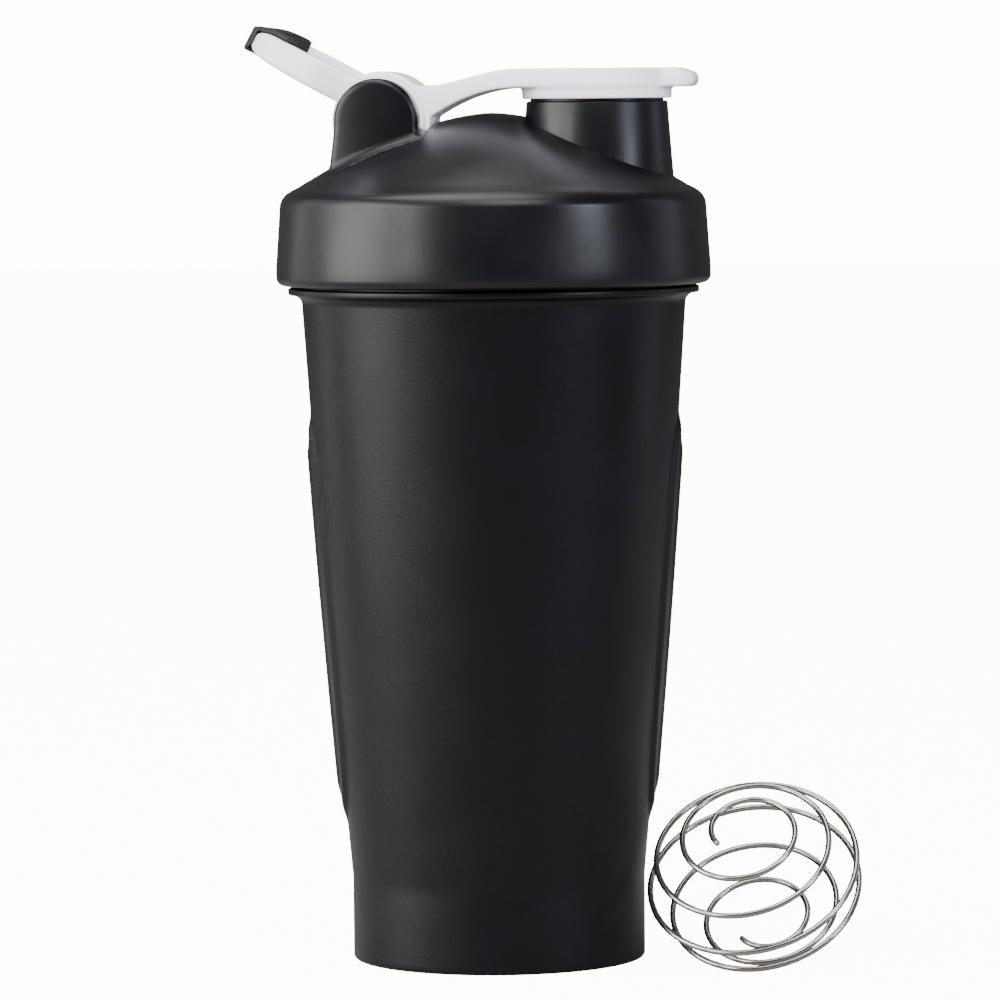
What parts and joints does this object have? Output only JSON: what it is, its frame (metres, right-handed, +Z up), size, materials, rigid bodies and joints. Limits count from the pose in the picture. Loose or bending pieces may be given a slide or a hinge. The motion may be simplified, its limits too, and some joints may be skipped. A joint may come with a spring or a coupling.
{
  "type": "protein shaker bottle",
  "caption": "Tapered shaker cup with a screw lid, off-centre spout, flip cap, hinged carry loop with a soft grip, and a loose wire whisk ball beside it.",
  "frame": {"origin": "centre of the flat underside of the cup, on the bottle's axis, in the plane that the bottle stands on", "axes": "+Z up along the bottle's axis, +X towards the drinking spout, Y along the hinge of the cap and the loop"},
  "size_m": [0.1433, 0.1002, 0.2176],
  "materials": {
    "cup_plastic": "fine matte moulded plastic",
    "lid_plastic": "satin moulded plastic",
    "seal_silicone": "soft silicone",
    "pin_steel": "drawn steel",
    "white_plastic": "satin moulded plastic",
    "grip_rubber": "soft matte rubber",
    "whisk_steel": "bright drawn wire"
  },
  "bodies": {
    "cup": {"cup": "cup_plastic"},
    "lid_seal": {"lid_seal": "seal_silicone"},
    "lid": {"lid": "lid_plastic", "hinge_pin": "pin_steel"},
    "flip_cap": {"flip_cap": "white_plastic"},
    "carry_loop": {"carry_loop": "white_plastic", "loop_grip": "grip_rubber"},
    "whisk_ball": {"whisk_ball": "whisk_steel"}
  },
  "joints": [
    {"name": "lid_lift", "type": "slide", "parent": "cup", "child": "lid_seal", "axis": [0, 0, 1], "range_m": [0, 0.06401]},
    {"name": "lid_turn", "type": "hinge", "parent": "lid_seal", "child": "lid", "pos_m": [0, 0, 0.172], "axis": [0, 0, 1], "range_deg": [0, 2880]},
    {"name": "cap_hinge", "type": "hinge", "parent": "lid", "child": "flip_cap", "pos_m": [-0.0246, 0, 0.1936], "axis": [0, -1, 0], "range_deg": [0, 108]},
    {"name": "loop_hinge", "type": "hinge", "parent": "lid", "child": "carry_loop", "pos_m": [-0.0246, 0, 0.1936], "axis": [0, -1, 0], "range_deg": [0, 55]},
    {"name": "whisk_slide", "type": "slide", "parent": "cup", "child": "whisk_ball", "axis": [0.9778, -0.2096, 0], "range_m": [0, 0.15]}
  ],
  "couplings": [
    {"joint": "lid_lift", "follows": "lid_turn", "m_per_rad": 0.0012732}
  ]
}
